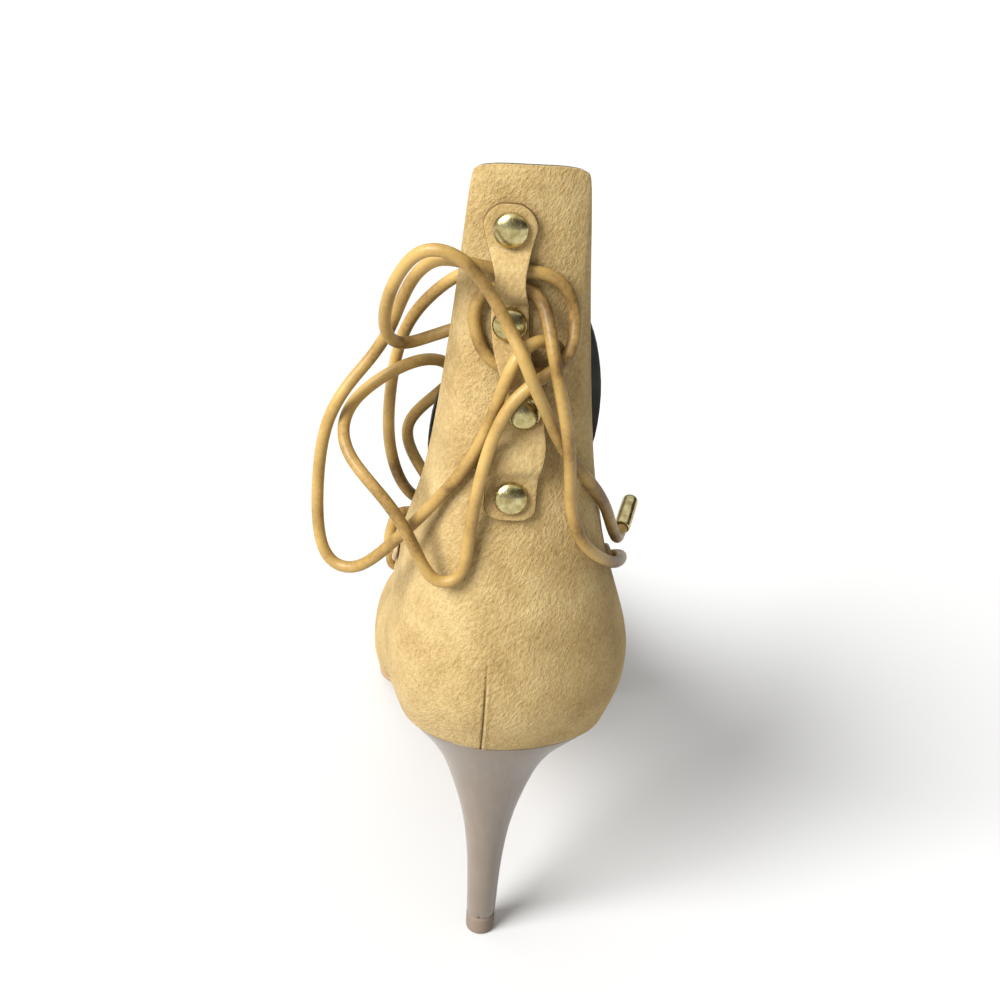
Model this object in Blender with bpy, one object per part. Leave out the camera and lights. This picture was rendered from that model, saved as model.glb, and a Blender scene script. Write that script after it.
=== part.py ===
"""Lace-up stiletto shoe for the right foot, with a tall tab at the back of the ankle.

Units are metres, +Z is up, +Y runs to the toe and +X to the outer side of the foot. The origin is
the middle of the heel's resting face. Tables and sizes are written in millimetres and are turned
into metres where a mesh is made.
"""
import math
from collections import namedtuple

import bmesh
import bpy
from mathutils import Matrix, Vector
from mathutils.bvhtree import BVHTree

MM = 0.001

# Driving sizes, in millimetres
SEAT_HEIGHT = 80.0
TAB_TOP = 231.5
TAB_HALF = 13.3
SEAT_BACK_Y = -18.5
TOE_Y = 205.0
BALL_INNER = 36.5
BALL_OUTER = 39.5
FOREFOOT_SOLE = 3.9
SHANK_SOLE = 2.4
WALL = 1.8
GAP = 0.3
INSOLE_THICK = 3.0
INSOLE_CLEAR = 0.5
SOLE_INSET = 0.4
HEEL_INSET = 0.2
SHANK_FRONT_Y = 124.0
SHANK_FADE = 30.0
BREAST_Y = 36.0
LACE_D = 2.8

# How finely the ruled forms are cut
RIB_STEPS = 3
LOWER_CUTS = 3
UPPER_CUTS = 7
HEEL_SIDES = 22
ROUND_SIDES = 12
EYELET_SIDES = 10
LACE_SIDES = 8

# Height of the feather edge, where upper meets sole, along the shoe
Profile = namedtuple("Profile", "name y z")
SIDE_PROFILE = (
    Profile("seat_back", SEAT_BACK_Y, SEAT_HEIGHT),
    Profile("seat_mid", 2.0, SEAT_HEIGHT - 2.0),
    Profile("seat_front", 20.0, SEAT_HEIGHT - 6.4),
    Profile("breast", BREAST_Y + 2.0, SEAT_HEIGHT - 13.5),
    Profile("shank_top", 60.0, 50.5),
    Profile("shank", 80.0, 33.0),
    Profile("waist", 98.0, 18.0),
    Profile("ball_back", 112.0, 9.2),
    Profile("tread_rise", 124.0, FOREFOOT_SOLE + GAP + 0.9),
    Profile("tread_back", 132.0, FOREFOOT_SOLE + GAP),
    Profile("tread_front", 165.0, FOREFOOT_SOLE + GAP),
    Profile("spring", 185.0, FOREFOOT_SOLE + GAP + 2.0),
    Profile("toe", TOE_Y + 2.0, FOREFOOT_SOLE + GAP + 6.2),
)

# Ribs of the last from the toe, round one side, to the middle of the back. Each rib rises from the
# feather edge, swells to its widest and ends on the ridge of the vamp or on the topline.
# inner_x and outer_x are half widths at the feather edge; swell and swell_up place the widest
# point; top_* is the upper end; arch, crown and drop shape the curve between the two.
Rib = namedtuple("Rib", "name feather_y inner_x outer_x swell swell_up top_x top_y top_z arch crown drop")
RIBS = (
    Rib("toe", TOE_Y, 0.0, 0.0, 1.0, 5.0, 0.0, 199.5, 22.5, 0.50, 0.50, 0.00),
    Rib("toe_bow", TOE_Y - 3.0, 8.0, 6.8, 1.1, 5.3, 0.0, 195.5, 24.6, 0.50, 0.52, 0.00),
    Rib("toe_side", TOE_Y - 11.0, 16.6, 14.6, 1.3, 6.0, 0.0, 188.0, 28.0, 0.50, 0.54, 0.00),
    Rib("toe_back", TOE_Y - 24.0, 25.0, 23.8, 1.4, 7.0, 0.0, 177.0, 32.6, 0.50, 0.55, 0.00),
    Rib("vamp_front", TOE_Y - 41.0, 32.4, 33.0, 1.5, 8.0, 0.0, 162.0, 39.2, 0.52, 0.55, 0.00),
    Rib("vamp", TOE_Y - 62.0, BALL_INNER, BALL_OUTER, 1.6, 8.5, 0.0, 142.0, 49.2, 0.54, 0.54, 0.00),
    Rib("throat", TOE_Y - 80.0, 35.6, 38.8, 1.8, 9.0, 0.0, 121.0, 61.8, 0.56, 0.52, 0.00),
    Rib("throat_bow", TOE_Y - 92.0, 32.6, 35.6, 2.0, 10.0, 9.0, 118.0, 63.6, 0.56, 0.48, 0.05),
    Rib("throat_side", TOE_Y - 104.0, 28.6, 32.0, 2.2, 11.0, 16.5, 107.0, 69.6, 0.52, 0.42, 0.12),
    Rib("facing_low", TOE_Y - 120.0, 24.4, 27.8, 2.6, 12.5, 21.0, 88.0, 78.6, 0.48, 0.36, 0.22),
    Rib("facing", TOE_Y - 140.0, 22.6, 24.6, 3.0, 14.5, 24.0, 66.0, 90.4, 0.44, 0.30, 0.30),
    Rib("facing_high", TOE_Y - 162.0, 24.0, 26.4, 3.3, 16.5, 26.2, 44.0, 103.0, 0.42, 0.26, 0.34),
    Rib("quarter", TOE_Y - 182.0, 25.8, 29.8, 3.7, 18.0, 27.8, 27.0, 116.5, 0.40, 0.22, 0.36),
    Rib("tab_foot", TOE_Y - 199.0, 26.0, 30.6, 4.2, 19.0, 25.4, 13.0, 132.0, 0.38, 0.18, 0.36),
    Rib("tab_low", -5.0, 23.0, 27.2, 4.8, 19.5, 20.8, 3.0, 154.0, 0.36, 0.12, 0.36),
    Rib("tab_edge", -11.5, 18.0, 21.4, 5.2, 20.0, 16.0, -2.4, 196.0, 0.36, 0.06, 0.36),
    Rib("tab_corner", -15.2, 12.4, 14.8, 5.4, 20.0, TAB_HALF, -4.6, TAB_TOP - 3.4, 0.36, 0.00, 0.36),
    Rib("tab_top", -17.0, 8.6, 10.2, 5.5, 20.0, TAB_HALF - 0.9, -5.0, TAB_TOP - 1.5, 0.36, 0.00, 0.36),
    Rib("tab_mid", -18.2, 4.4, 5.2, 5.6, 20.0, 0.5 * TAB_HALF, -6.9, TAB_TOP - 0.2, 0.36, 0.00, 0.36),
    Rib("tab_back", SEAT_BACK_Y, 0.0, 0.0, 5.6, 20.0, 0.0, -7.6, TAB_TOP, 0.36, 0.00, 0.36),
)
BACK = len(RIBS) - 1
ROUND = 2 * BACK

# Heel block from the seat down. share is how far a level still has the seat's outline and slope.
TOP_PIECE_HEIGHT = 6.0
Level = namedtuple("Level", "name z half_width back_y front_y share")
HEEL_LEVELS = (
    Level("seat", SEAT_HEIGHT - GAP, 28.0, SEAT_BACK_Y + 0.1, BREAST_Y, 1.0),
    Level("cup", SEAT_HEIGHT - 3.4, 25.4, SEAT_BACK_Y + 1.0, BREAST_Y - 3.0, 0.94),
    Level("flare", SEAT_HEIGHT - 8.0, 21.4, SEAT_BACK_Y + 2.8, BREAST_Y - 11.0, 0.70),
    Level("neck", SEAT_HEIGHT - 15.0, 15.2, SEAT_BACK_Y + 5.6, BREAST_Y - 20.5, 0.36),
    Level("shoulder", SEAT_HEIGHT - 25.0, 10.4, SEAT_BACK_Y + 8.6, BREAST_Y - 27.0, 0.10),
    Level("stem_top", SEAT_HEIGHT - 39.0, 6.6, SEAT_BACK_Y + 11.6, BREAST_Y - 30.2, 0.0),
    Level("stem", SEAT_HEIGHT - 56.0, 4.8, SEAT_BACK_Y + 13.4, BREAST_Y - 31.4, 0.0),
    Level("foot", TOP_PIECE_HEIGHT + GAP, 4.2, SEAT_BACK_Y + 14.3, BREAST_Y - 31.8, 0.0),
)
TOP_PIECE_RADIUS = 4.2
TOP_PIECE_EDGE = 0.7

# Rivets of the back strip, from the top, and the strip's width at and between them
Rivet = namedtuple("Rivet", "x z width loop_width loop_lift")
RIVETS = (
    Rivet(-4.2, 217.6, 12.4, 6.8, 4.1),
    Rivet(-3.2, 196.2, 8.8, 8.4, 3.9),
    Rivet(1.2, 176.0, 8.8, 13.0, 2.4),
    Rivet(-0.8, 155.6, 12.4, 0.0, 0.0),
)
STRIP_THICK = 1.4
STRIP_END = 6.2
STRIP_SEAT = 0.4
STRIP_FLAT = 0.22
STRIP_TIP = 0.3
STRIP_SQUARE = 6.0
STRIP_END_CUTS = 4
STRIP_LOOP_CUTS = 6
RIVET_RADIUS = 3.9
RIVET_DOME = 2.4
RIVET_LIP = 0.6
RIVET_CUTS = 3

# Eyelets along each facing, from the throat up, by rib and distance below the topline
EYELET_RIBS = (8.55, 9.8, 11.25, 12.6)
EYELET_DROP = 7.0
EYELET_HOLE = 1.8
EYELET_RIM = 3.3
EYELET_BARREL = 2.1
EYELET_CUT = 2.5
EYELET_SEAT = 0.4
EYELET_FACE = 1.6
EYELET_EDGE = 0.2
EYELET_TAIL = 0.6

# Lace over the throat: its middle line at an eyelet, as distance to the toe, up the wall and off the
# outer face, where it leaves over the topline and where it comes in behind the wall
Bend = namedtuple("Bend", "toe up off")
LACE_OVER = (Bend(0.0, 0.0, 3.2), Bend(-0.6, 4.8, 3.0), Bend(-1.4, 9.6, 2.6), Bend(-1.8, 11.8, -0.9))
LACE_BEHIND = (Bend(1.8, 9.4, -2.6), Bend(1.4, 7.2, -3.9), Bend(0.6, 3.6, -4.0), Bend(0.0, 0.0, -4.0))

# The two free lengths of the lace, by their middle line
LACE_OUTER = (
    # from the top eyelet round the back and up the tab to the upper loop of the strip
    (30.3, 17.0, 119.2), (32.2, 14.6, 120.8), (31.0, 7.5, 123.5), (28.6, -1.5, 128.0),
    (25.8, -10.2, 133.1), (20.5, -16.5, 139.0), (16.0, -19.0, 145.0), (13.5, -18.5, 153.0),
    (13.0, -19.0, 160.5), (12.0, -21.0, 170.5), (9.5, -22.0, 181.5), (7.4, -21.5, 189.5),
    (5.8, -17.5, 196.5), (4.6, -12.5, 201.5),
    # through it, down to the second loop, through that, and a turn back over the strip
    (1.0, -11.2, 204.7), (-4.6, -11.1, 205.0), (-9.2, -10.5, 203.9), (-11.6, -10.4, 199.4),
    (-11.0, -10.9, 193.6), (-8.8, -12.4, 188.8), (-5.4, -13.7, 186.5), (-0.6, -14.0, 185.8),
    (4.2, -13.9, 184.8), (8.0, -13.5, 185.4), (9.6, -13.4, 189.0), (7.8, -14.0, 192.6),
    (4.0, -15.8, 194.4), (0.2, -18.2, 193.4), (-2.8, -19.8, 188.8), (-4.8, -19.2, 181.5),
    # down in a slack loop and up the inner side
    (-7.0, -17.4, 172.0), (-11.5, -16.5, 161.0), (-20.0, -14.3, 148.5), (-30.5, -11.0, 134.5),
    (-37.0, -8.5, 127.3), (-43.5, -6.0, 126.8), (-47.2, -4.0, 132.8), (-47.6, -2.8, 148.0),
    (-45.9, -3.2, 165.0), (-40.5, -1.5, 174.6), (-35.0, 0.8, 180.5), (-30.8, 1.0, 187.5),
    (-28.2, -1.5, 196.5), (-25.3, -5.5, 204.5), (-21.0, -9.8, 210.2), (-16.0, -12.0, 211.0),
    # through the upper loop again, round the outer side and down over the strip in a second slack loop
    (-10.0, -10.6, 208.9), (-2.5, -10.7, 208.2), (4.0, -10.7, 208.6), (9.0, -10.2, 205.6),
    (11.6, -10.3, 200.4), (11.9, -12.6, 195.0), (10.8, -16.6, 191.0), (7.0, -18.0, 187.6),
    (2.0, -20.2, 185.0), (-1.8, -21.0, 181.2), (-4.6, -21.5, 176.0), (-7.4, -21.2, 166.5),
    (-9.6, -21.0, 152.0), (-10.2, -21.0, 141.5), (-10.8, -21.0, 135.5), (-14.0, -20.9, 131.8),
    (-18.6, -20.3, 132.4), (-21.6, -19.5, 137.5), (-26.8, -17.4, 148.4), (-35.0, -13.0, 155.6),
    (-40.2, -8.0, 160.0), (-41.6, -2.5, 164.2), (-39.6, 2.5, 168.2), (-35.0, 5.5, 171.8),
    # a turn behind the tab, and down beside it into the collar, where the end hangs
    (-29.0, 6.3, 176.0), (-22.0, 8.0, 178.5), (-16.2, 10.5, 176.5), (-13.8, 13.4, 171.0),
    (-20.5, 15.6, 163.8), (-26.8, 15.6, 157.2), (-25.6, 14.8, 150.0), (-20.5, 13.0, 142.5),
    (-14.5, 11.5, 135.0),
)
LACE_INNER = (
    # up inside the collar, out over the topline and up beside the tab
    (-24.5, 17.0, 118.0), (-20.6, 17.0, 119.6), (-18.8, 16.8, 124.5), (-19.2, 16.2, 130.5),
    (-21.2, 15.2, 134.8), (-24.2, 13.6, 136.8), (-27.0, 12.2, 141.0), (-29.5, 11.0, 148.0),
    (-31.0, 10.0, 157.5), (-30.4, 10.2, 171.0), (-28.0, 9.2, 185.0), (-22.5, 7.0, 194.0),
    # a turn behind the tab
    (-16.0, 4.5, 201.0), (-9.5, 2.5, 204.5), (-4.2, 1.5, 202.0), (-3.2, 1.5, 196.2),
    (-7.5, 2.0, 191.8), (-21.0, 3.4, 186.0), (-27.2, 1.2, 184.2), (-31.2, -4.2, 188.0),
    (-32.0, -8.0, 195.5),
    # over the top of the slack loops and across the back of the tab
    (-30.0, -11.5, 204.5), (-25.5, -15.0, 213.0), (-20.5, -17.5, 215.5), (-14.0, -18.0, 213.5),
    (-7.5, -17.5, 205.0), (-3.0, -19.5, 197.0), (-0.5, -23.0, 193.5), (2.0, -24.0, 187.5),
    (6.5, -20.5, 177.5), (11.5, -16.4, 165.5), (19.4, -14.0, 156.7),
    # down the outer side to the tip
    (24.0, -5.0, 146.0), (27.0, 3.0, 135.5), (29.5, 9.5, 128.5), (30.8, 14.5, 126.3),
    (31.8, 17.8, 127.2),
)

# Metal tips on the ends of the lace
TIP_RADIUS = 2.2
TIP_LENGTH = 11.5
TIP_NECK = 4.0
TIP_CRIMP = 0.35
TIP_EDGE = 0.6


def gentle(before, after):
    """Slope at a point between two steps, such that the curve never overshoots."""
    return 0.0 if before * after <= 0.0 else 2.0 * before * after / (before + after)


def slopes_round(values):
    """Slopes of a closed curve through evenly spaced values."""
    count = len(values)
    return [gentle(values[i] - values[i - 1], values[(i + 1) % count] - values[i]) for i in range(count)]


def hermite(a, b, slope_a, slope_b, f):
    """Cubic from a to b with the given end slopes."""
    g = f - 1.0
    return (a * (1 + 2 * f) * g * g + b * f * f * (3 - 2 * f)
            + slope_a * f * g * g + slope_b * f * f * g)


def column_round(column, inner, outer):
    """A rib column carried round the whole shoe: outer side, back, inner side."""
    values = [getattr(rib, column) for rib in RIBS]
    loop = [outer * value for value in values] + [inner * value for value in values[BACK - 1:0:-1]]
    return loop, slopes_round(loop)


def side_round(inner_column, outer_column):
    """A width column that differs between the sides, signed, round the whole shoe."""
    outer = [getattr(rib, outer_column) for rib in RIBS]
    inner = [-getattr(rib, inner_column) for rib in RIBS]
    loop = outer + inner[BACK - 1:0:-1]
    return loop, slopes_round(loop)


COLUMNS = {name: column_round(name, 1.0, 1.0) for name in
           ("feather_y", "swell", "swell_up", "top_y", "top_z", "arch", "crown", "drop")}
COLUMNS["top_x"] = column_round("top_x", -1.0, 1.0)
COLUMNS["feather_x"] = side_round("inner_x", "outer_x")


def column_at(name, t):
    """Value of a rib column at place t round the shoe; whole numbers are the table's own ribs."""
    values, slopes = COLUMNS[name]
    t = t % ROUND
    i = int(t)
    k = (i + 1) % ROUND
    return hermite(values[i], values[k], slopes[i], slopes[k], t - i)


def along(keys, values, x):
    """Value at x on a smooth curve through values placed at rising keys."""
    x = min(max(x, keys[0]), keys[-1])
    last = len(keys) - 1
    i = max(k for k in range(last) if keys[k] <= x)
    steps = [(values[k + 1] - values[k]) / (keys[k + 1] - keys[k]) for k in range(last)]
    slopes = [steps[0]] + [gentle(a, b) for a, b in zip(steps, steps[1:])] + [steps[-1]]
    span = keys[i + 1] - keys[i]
    return hermite(values[i], values[i + 1], slopes[i] * span, slopes[i + 1] * span, (x - keys[i]) / span)


def feather_height(y):
    return along([row.y for row in SIDE_PROFILE], [row.z for row in SIDE_PROFILE], y)


def feather(t, inset=0.0):
    """Point of the feather edge at place t, moved inwards in plan by inset."""
    point = Vector((column_at("feather_x", t), column_at("feather_y", t), 0.0))
    if inset:
        point -= outward(t) * inset
    point.z = feather_height(column_at("feather_y", t))
    return point


def outward(t):
    """Level direction that points out of the shoe at place t."""
    step = 0.02
    ahead = Vector((column_at("feather_x", t + step), column_at("feather_y", t + step), 0.0))
    behind = Vector((column_at("feather_x", t - step), column_at("feather_y", t - step), 0.0))
    run = ahead - behind
    return Vector((-run.y, run.x, 0.0)).normalized()


def bezier(a, b, c, d, f):
    g = 1.0 - f
    return a * g ** 3 + b * (3 * g * g * f) + c * (3 * g * f * f) + d * f ** 3


def rib_points(t):
    """One rib of the upper's outer face, from the feather edge to the ridge or the topline."""
    foot = feather(t)
    lift = column_at("swell_up", t)
    widest = foot + outward(t) * column_at("swell", t) + Vector((0.0, 0.0, lift))
    top = Vector((column_at("top_x", t), column_at("top_y", t), column_at("top_z", t)))
    rise = top.z - widest.z
    level = Vector((widest.x - top.x, widest.y - top.y, 0.0))
    up = Vector((0.0, 0.0, 1.0))
    low_a = foot + (widest - foot) * 0.4 + outward(t) * column_at("swell", t) * 0.2
    low_b = widest - up * (0.4 * lift)
    high_a = widest + up * (column_at("arch", t) * rise)
    high_b = top + level * column_at("crown", t) - up * (column_at("drop", t) * rise)
    points = [bezier(foot, low_a, low_b, widest, k / LOWER_CUTS) for k in range(LOWER_CUTS)]
    points += [bezier(widest, high_a, high_b, top, k / UPPER_CUTS) for k in range(UPPER_CUTS + 1)]
    return points


# Materials
def material(name, colour, roughness, metallic=0.0):
    mat = bpy.data.materials.new(name)
    mat.use_nodes = True
    shader = mat.node_tree.nodes["Principled BSDF"]
    shader.inputs["Base Color"].default_value = (*colour, 1.0)
    shader.inputs["Roughness"].default_value = roughness
    shader.inputs["Metallic"].default_value = metallic
    mat.diffuse_color = (*colour, 1.0)
    return mat


def new_object(name, bm, mat, smooth_angle=40.0):
    """Object from a bmesh in millimetres."""
    bmesh.ops.scale(bm, vec=(MM, MM, MM), verts=bm.verts)
    mesh = bpy.data.meshes.new(name)
    bm.to_mesh(mesh)
    bm.free()
    mesh.materials.append(mat)
    mesh.shade_smooth()
    mesh.set_sharp_from_angle(angle=math.radians(smooth_angle))
    obj = bpy.data.objects.new(name, mesh)
    bpy.context.scene.collection.objects.link(obj)
    return obj


def skin(bm, rings, closed_ring=True):
    """Quads between successive rings of points; returns the rings as vertices."""
    made = [[bm.verts.new(point) for point in ring] for ring in rings]
    for ring, following in zip(made, made[1:]):
        count = len(ring)
        for k in range(count if closed_ring else count - 1):
            n = (k + 1) % count
            bm.faces.new((ring[k], ring[n], following[n], following[k]))
    return made


def close_outwards(bm):
    """Merge what coincides and turn every face of the closed body outwards."""
    bmesh.ops.remove_doubles(bm, verts=bm.verts, dist=0.002)
    bmesh.ops.dissolve_degenerate(bm, edges=bm.edges, dist=0.001)
    bmesh.ops.recalc_face_normals(bm, faces=bm.faces)


# Upper
def upper_face():
    """The upper's outer face as one open sheet of ribs that runs right round the shoe."""
    bm = bmesh.new()
    ribs = [rib_points(k / RIB_STEPS) for k in range(ROUND * RIB_STEPS)]
    skin(bm, [[rib[level] for rib in ribs] for level in range(len(ribs[0]))])
    bmesh.ops.remove_doubles(bm, verts=bm.verts, dist=0.002)
    bmesh.ops.reverse_faces(bm, faces=bm.faces)
    return bm


def eyelet_frame(tree, side, place):
    """Position and turn of an eyelet: on the outer face, with its axis square to it."""
    points = rib_points(place if side > 0 else ROUND - place)
    left = EYELET_DROP
    k = len(points) - 1
    while left > (points[k] - points[k - 1]).length:
        left -= (points[k] - points[k - 1]).length
        k -= 1
    guess = points[k].lerp(points[k - 1], left / (points[k] - points[k - 1]).length)
    spot, normal, _, _ = tree.find_nearest(guess)
    turn = normal.to_track_quat("Z", "Y").to_matrix().to_4x4()
    return Matrix.Translation(spot) @ turn


def eyelet_frames(tree):
    return {(name, k + 1): eyelet_frame(tree, side, place)
            for name, side in (("inner", -1.0), ("outer", 1.0))
            for k, place in enumerate(EYELET_RIBS)}


def make_upper(face, frames, mat):
    holes = bmesh.new()
    for frame in frames.values():
        bmesh.ops.create_cone(holes, cap_ends=True, segments=ROUND_SIDES, radius1=EYELET_CUT,
                              radius2=EYELET_CUT, depth=4.0 * WALL, matrix=frame)
    cutter = new_object("eyelet_holes", holes, mat)
    cutter.hide_render = True
    cutter.display_type = "WIRE"
    upper = new_object("upper", face, mat)
    wall = upper.modifiers.new("wall", "SOLIDIFY")
    wall.thickness = WALL * MM
    wall.offset = -1.0
    cut = upper.modifiers.new("eyelets", "BOOLEAN")
    cut.object = cutter
    cut.operation = "DIFFERENCE"
    return upper


# Sole, insole and heel
def plate(bm, places, inset, tops, bottoms, cut_back):
    """A plate on the feather outline: rings across the shoe from the toe, or toe to back."""
    rings = []
    for place in places:
        outer, inner = feather(place, inset), feather(ROUND - place, inset)
        y = outer.y
        rings.append([Vector((inner.x, inner.y, bottoms(y))), Vector((outer.x, outer.y, bottoms(y))),
                      Vector((outer.x, outer.y, tops(y))), Vector((inner.x, inner.y, tops(y)))])
    made = skin(bm, rings)
    if cut_back:
        bm.faces.new(made[-1])
    close_outwards(bm)


def place_of_y(y):
    """Place on the outer side where the feather edge reaches y."""
    low, high = 0.0, float(BACK)
    for _ in range(40):
        middle = 0.5 * (low + high)
        if column_at("feather_y", middle) > y:
            low = middle
        else:
            high = middle
    return low


def make_insole(mat):
    bm = bmesh.new()
    places = [k / RIB_STEPS for k in range(BACK * RIB_STEPS + 1)]
    plate(bm, places, WALL + INSOLE_CLEAR, lambda y: feather_height(y) + INSOLE_THICK, feather_height, False)
    return new_object("insole", bm, mat)


def sole_bottom(y):
    """Underside of the sole: flat on the tread, thinner along the shank."""
    shank = min(max((SHANK_FRONT_Y - y) / SHANK_FADE, 0.0), 1.0)
    thick = FOREFOOT_SOLE + (SHANK_SOLE - FOREFOOT_SOLE) * shank
    return feather_height(y) - GAP - thick


def make_outsole(mat):
    bm = bmesh.new()
    breast = place_of_y(BREAST_Y + GAP)
    places = [k / RIB_STEPS for k in range(int(breast * RIB_STEPS) + 1)] + [breast]
    plate(bm, places, SOLE_INSET, lambda y: feather_height(y) - GAP, sole_bottom, True)
    return new_object("outsole", bm, mat)


def heel_ring(level):
    """One level of the heel: the seat's D outline, giving way to an oval further down."""
    ring = []
    length = level.front_y - level.back_y
    seat_length = BREAST_Y - SEAT_BACK_Y
    start = place_of_y(BREAST_Y)
    for k in range(HEEL_SIDES):
        f = k / (HEEL_SIDES - 1)
        seat = feather(start + (ROUND - 2.0 * start) * f, HEEL_INSET)
        seat_u = seat.x / HEEL_LEVELS[0].half_width
        seat_v = (seat.y - SEAT_BACK_Y) / seat_length
        angle = math.pi * (1.0 - 2.0 * f) * (HEEL_SIDES - 1) / HEEL_SIDES
        u = level.share * seat_u + (1.0 - level.share) * math.sin(angle)
        v = level.share * seat_v + (1.0 - level.share) * 0.5 * (1.0 - math.cos(angle))
        y = level.back_y + v * length
        z = level.z + level.share * (feather_height(seat.y) - SEAT_HEIGHT)
        ring.append(Vector((u * level.half_width, y, z)))
    return ring


def heel_level(f):
    """Level between the table's rows, f counted in rows."""
    rows = range(len(HEEL_LEVELS))
    values = {column: along(rows, [getattr(level, column) for level in HEEL_LEVELS], f)
              for column in Level._fields[1:]}
    return Level("between", **values)


def make_heel(mat):
    bm = bmesh.new()
    rings = [heel_ring(heel_level(0.5 * k)) for k in range(2 * len(HEEL_LEVELS) - 1)]
    made = skin(bm, rings)
    top = made[0]
    half = len(top) // 2
    for k in range(half - 1):
        bm.faces.new((top[k], top[k + 1], top[-k - 2], top[-k - 1]))
    bm.faces.new(made[-1])
    close_outwards(bm)
    return new_object("heel", bm, mat)


def turned(bm, profile, sides=ROUND_SIDES, matrix=Matrix()):
    """Closed body turned from an outline of (radius, height) points round Z."""
    rings = [[Vector((r * math.cos(a), r * math.sin(a), z)) for r, z in profile]
             for a in (2.0 * math.pi * k / sides for k in range(sides + 1))]
    skin(bm, rings, closed_ring=profile[0][0] > 0.0)
    close_outwards(bm)
    bmesh.ops.transform(bm, matrix=matrix, verts=bm.verts)


def make_top_piece(mat):
    bm = bmesh.new()
    corner = 0.3 * TOP_PIECE_EDGE
    outline = ((0.0, TOP_PIECE_HEIGHT), (TOP_PIECE_RADIUS, TOP_PIECE_HEIGHT),
               (TOP_PIECE_RADIUS, TOP_PIECE_EDGE), (TOP_PIECE_RADIUS - corner, corner),
               (TOP_PIECE_RADIUS - TOP_PIECE_EDGE, 0.0), (0.0, 0.0))
    turned(bm, outline, HEEL_SIDES)
    return new_object("top_piece", bm, mat)


# Back strip and its rivets
def back_spot(tree, x, z):
    """Point and outward normal of the upper's back, straight behind x and z."""
    spot, normal, _, _ = tree.ray_cast(Vector((x, -200.0, z)), Vector((0.0, 1.0, 0.0)))
    return spot, normal


def strip_rows():
    """Middle, height, width and lift of the strip at successive places, from its top end down."""
    rows = []
    first, last = RIVETS[0], RIVETS[-1]
    for k in range(STRIP_END_CUTS):
        f = (k + STRIP_TIP) / STRIP_END_CUTS
        width = first.width * math.sqrt(1.0 - (1.0 - f) ** 2)
        rows.append((first.x, first.z + STRIP_END * (1.0 - f), width, 0.0))
    for upper_rivet, lower_rivet in zip(RIVETS, RIVETS[1:]):
        arches = [k / STRIP_LOOP_CUTS for k in range(STRIP_LOOP_CUTS + 1)]
        for f, arch in [(0.0, 0.0)] + [(STRIP_FLAT + (1.0 - 2.0 * STRIP_FLAT) * a, a) for a in arches]:
            ease = f * f * (3.0 - 2.0 * f)
            x = upper_rivet.x + (lower_rivet.x - upper_rivet.x) * ease
            z = upper_rivet.z + (lower_rivet.z - upper_rivet.z) * f
            straight = upper_rivet.width + (lower_rivet.width - upper_rivet.width) * f
            bow = math.sin(math.pi * f) ** 2
            width = straight + (upper_rivet.loop_width - straight) * bow
            rows.append((x, z, width, upper_rivet.loop_lift * (1.0 - (2.0 * arch - 1.0) ** 4)))
    for k in range(STRIP_END_CUTS + 1):
        f = k / (STRIP_END_CUTS + STRIP_TIP)
        rows.append((last.x, last.z - STRIP_END * f, last.width * math.sqrt(1.0 - f ** STRIP_SQUARE), 0.0))
    return rows


def make_strip(tree, mat):
    bm = bmesh.new()
    rings = []
    for x, z, width, lift in strip_rows():
        feet = [back_spot(tree, x + side * 0.5 * width, z)[0] for side in (-1.0, 0.0, 1.0)]
        under = [foot - Vector((0.0, STRIP_SEAT + lift, 0.0)) for foot in feet]
        over = [foot - Vector((0.0, STRIP_SEAT + STRIP_THICK + lift, 0.0)) for foot in feet]
        rings.append(under + over[::-1])
    made = skin(bm, rings)
    for end in (made[0], made[-1]):
        bm.faces.new((end[0], end[1], end[4], end[5]))
        bm.faces.new((end[1], end[2], end[3], end[4]))
    close_outwards(bm)
    return new_object("back_strip", bm, mat)


def make_rivets(tree, mat):
    for number, rivet in enumerate(RIVETS, 1):
        spot, normal = back_spot(tree, rivet.x, rivet.z)
        base = spot - Vector((0.0, STRIP_SEAT + STRIP_THICK, 0.0)) + normal * GAP
        outline = [(0.0, 0.0), (RIVET_RADIUS, 0.0), (RIVET_RADIUS, RIVET_LIP)]
        for k in range(1, RIVET_CUTS):
            angle = 0.5 * math.pi * k / RIVET_CUTS
            outline.append((RIVET_RADIUS * math.cos(angle),
                            RIVET_LIP + (RIVET_DOME - RIVET_LIP) * math.sin(angle)))
        outline.append((0.0, RIVET_DOME))
        bm = bmesh.new()
        turn = normal.to_track_quat("Z", "Y").to_matrix().to_4x4()
        turned(bm, outline, ROUND_SIDES, Matrix.Translation(base) @ turn)
        new_object(f"rivet_{number}", bm, mat)


def make_eyelets(frames, mat):
    inside = -WALL - EYELET_TAIL
    crown = 0.5 * (EYELET_RIM + EYELET_HOLE)
    outline = ((EYELET_HOLE, inside), (EYELET_BARREL, inside), (EYELET_BARREL, EYELET_SEAT),
               (EYELET_RIM, EYELET_SEAT + EYELET_EDGE), (crown, EYELET_FACE),
               (EYELET_HOLE, EYELET_FACE - 2.0 * EYELET_EDGE))
    for (side, number), frame in frames.items():
        bm = bmesh.new()
        turned(bm, outline, EYELET_SIDES, frame)
        new_object(f"eyelet_{side}_{number}", bm, mat)


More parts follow.
